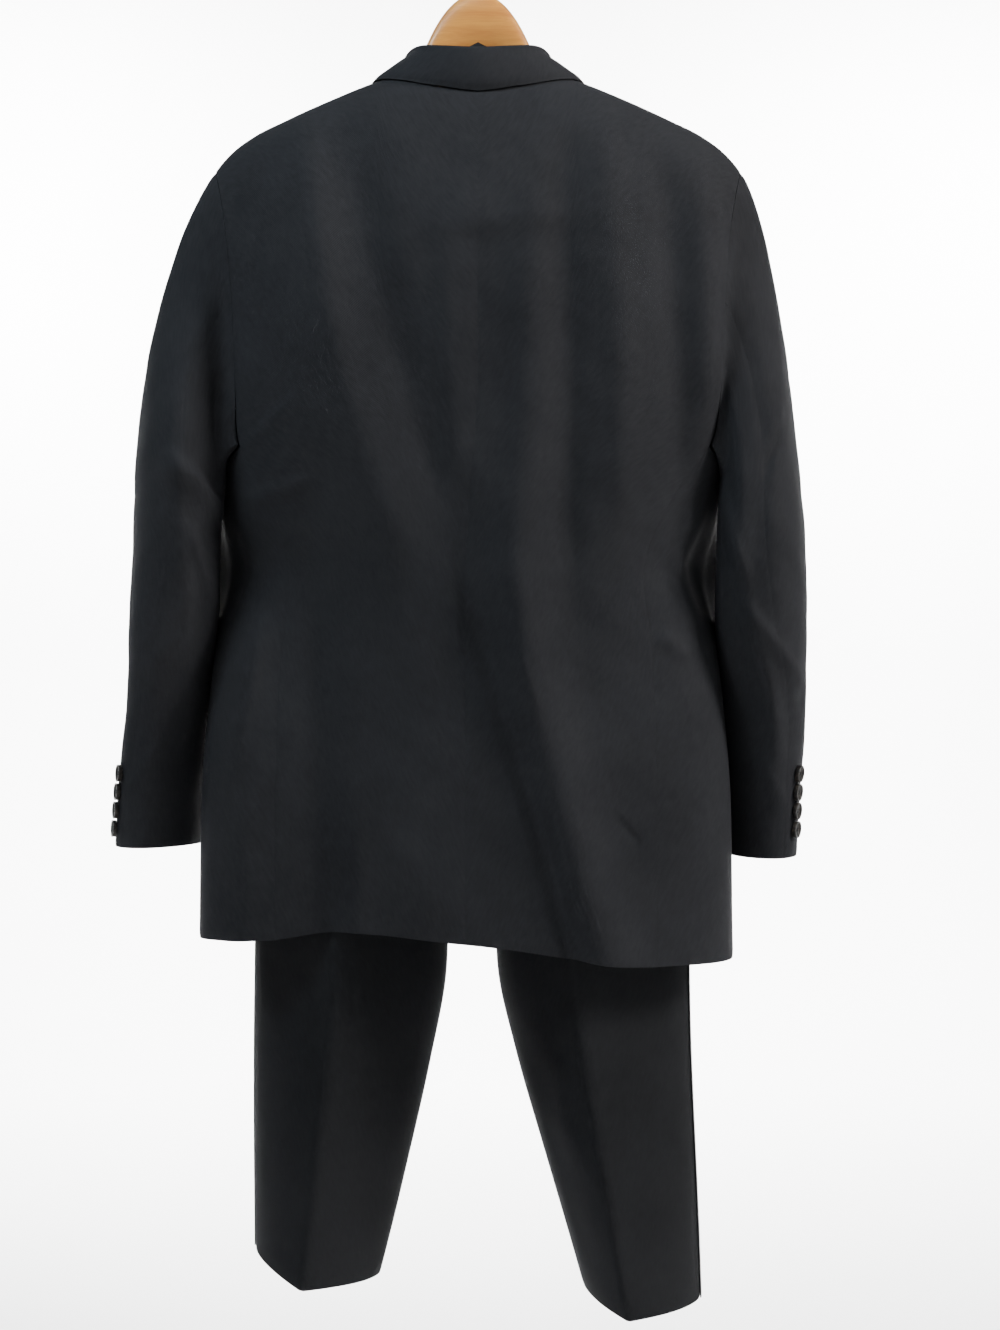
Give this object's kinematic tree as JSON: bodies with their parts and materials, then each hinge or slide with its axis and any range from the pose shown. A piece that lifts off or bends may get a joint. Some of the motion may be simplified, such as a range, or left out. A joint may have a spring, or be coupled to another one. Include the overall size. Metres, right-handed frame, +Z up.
{
  "type": "tuxedo suit on a suit hanger",
  "caption": "Dark wool tuxedo, jacket over trousers, hanging on a wooden suit hanger with a metal hook; seen from the back.",
  "frame": {"origin": "inside top of the hanger's hook, where it rests on a rail", "axes": "+Z up; the suit's back faces +Y and its front -Y; +X towards the wearer's left"},
  "size_m": [0.6198, 0.2231, 1.2248],
  "materials": {
    "jacket_back_left": "matt, very dark charcoal wool",
    "jacket_front_left": "matt, very dark charcoal wool",
    "jacket_side_left": "matt, very dark charcoal wool",
    "sleeve_upper_left": "matt, very dark charcoal wool",
    "sleeve_under_left": "matt, very dark charcoal wool",
    "cuff_button_left_1": "polished black",
    "cuff_button_left_2": "polished black",
    "cuff_button_left_3": "polished black",
    "cuff_button_left_4": "polished black",
    "lapel_left": "satin",
    "pocket_flap_left": "matt, very dark charcoal wool",
    "trouser_back_left": "matt, very dark charcoal wool",
    "trouser_front_left": "matt, very dark charcoal wool",
    "side_stripe_left": "satin",
    "waistband_left": "matt, very dark charcoal wool",
    "trouser_clip_left": "polished",
    "jacket_back_right": "matt, very dark charcoal wool",
    "jacket_front_right": "matt, very dark charcoal wool",
    "jacket_side_right": "matt, very dark charcoal wool",
    "sleeve_upper_right": "matt, very dark charcoal wool",
    "sleeve_under_right": "matt, very dark charcoal wool",
    "cuff_button_right_1": "polished black",
    "cuff_button_right_2": "polished black",
    "cuff_button_right_3": "polished black",
    "cuff_button_right_4": "polished black",
    "lapel_right": "satin",
    "pocket_flap_right": "matt, very dark charcoal wool",
    "trouser_back_right": "matt, very dark charcoal wool",
    "trouser_front_right": "matt, very dark charcoal wool",
    "side_stripe_right": "satin",
    "waistband_right": "matt, very dark charcoal wool",
    "trouser_clip_right": "polished",
    "collar": "matt, very dark charcoal wool",
    "breast_welt": "matt, very dark charcoal wool",
    "front_button": "polished black",
    "hanger_loop": "satin",
    "hanger_wood": "varnished beech",
    "hanger_ferrule": "polished",
    "hanger_hook": "polished",
    "trouser_bar": "polished"
  },
  "bodies": {
    "root": {"jacket_back_left": "jacket_back_left", "jacket_front_left": "jacket_front_left", "jacket_side_left": "jacket_side_left", "sleeve_upper_left": "sleeve_upper_left", "sleeve_under_left": "sleeve_under_left", "cuff_button_left_1": "cuff_button_left_1", "cuff_button_left_2": "cuff_button_left_2", "cuff_button_left_3": "cuff_button_left_3", "cuff_button_left_4": "cuff_button_left_4", "lapel_left": "lapel_left", "pocket_flap_left": "pocket_flap_left", "trouser_back_left": "trouser_back_left", "trouser_front_left": "trouser_front_left", "side_stripe_left": "side_stripe_left", "waistband_left": "waistband_left", "trouser_clip_left": "trouser_clip_left", "jacket_back_right": "jacket_back_right", "jacket_front_right": "jacket_front_right", "jacket_side_right": "jacket_side_right", "sleeve_upper_right": "sleeve_upper_right", "sleeve_under_right": "sleeve_under_right", "cuff_button_right_1": "cuff_button_right_1", "cuff_button_right_2": "cuff_button_right_2", "cuff_button_right_3": "cuff_button_right_3", "cuff_button_right_4": "cuff_button_right_4", "lapel_right": "lapel_right", "pocket_flap_right": "pocket_flap_right", "trouser_back_right": "trouser_back_right", "trouser_front_right": "trouser_front_right", "side_stripe_right": "side_stripe_right", "waistband_right": "waistband_right", "trouser_clip_right": "trouser_clip_right", "collar": "collar", "breast_welt": "breast_welt", "front_button": "front_button", "hanger_loop": "hanger_loop", "hanger_wood": "hanger_wood", "hanger_ferrule": "hanger_ferrule", "hanger_hook": "hanger_hook", "trouser_bar": "trouser_bar"}
  },
  "joints": []
}
